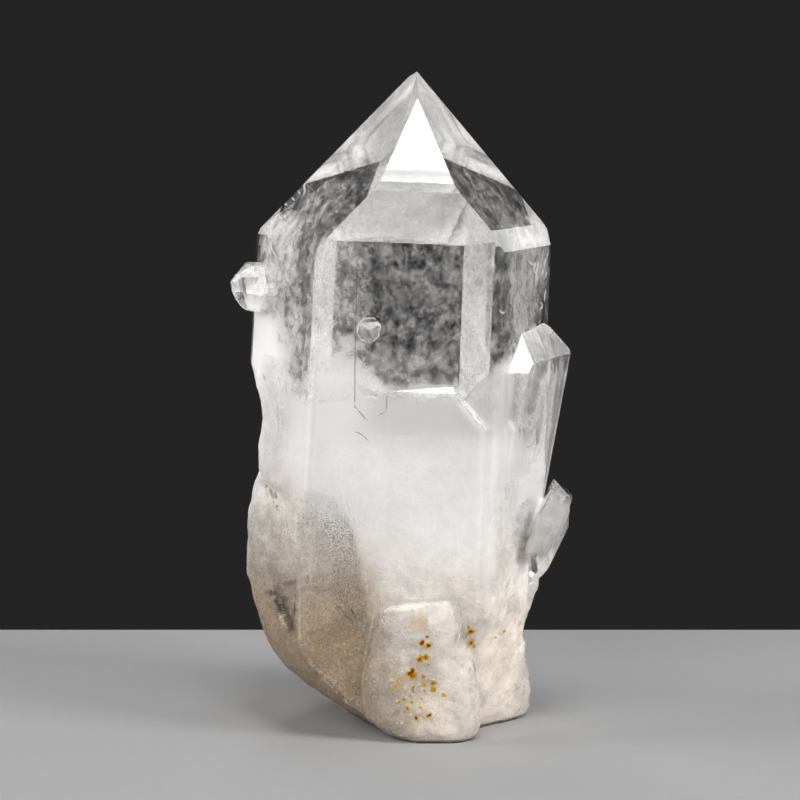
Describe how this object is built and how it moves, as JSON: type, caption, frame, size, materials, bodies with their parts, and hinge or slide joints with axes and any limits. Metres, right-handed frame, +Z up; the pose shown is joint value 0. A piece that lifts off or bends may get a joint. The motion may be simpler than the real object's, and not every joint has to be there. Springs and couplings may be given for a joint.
{
  "type": "quartz crystal",
  "caption": "Clear quartz point: a natural six-sided crystal, clear at the tip and milky below, that stands on its broken foot, with small crystals grown onto its sides.",
  "frame": {"origin": "middle of the bounding box at the ground, under the foot", "axes": "+Z up along the crystal, the broad front face with the growth plate towards -Y, +X to its right"},
  "size_m": [0.1004, 0.076, 0.1945],
  "materials": {
    "quartz": "clear and glossy near the tip, milky below, frosted and warm beige at the foot"
  },
  "bodies": {
    "root": {"quartz_point": "quartz"}
  },
  "joints": []
}
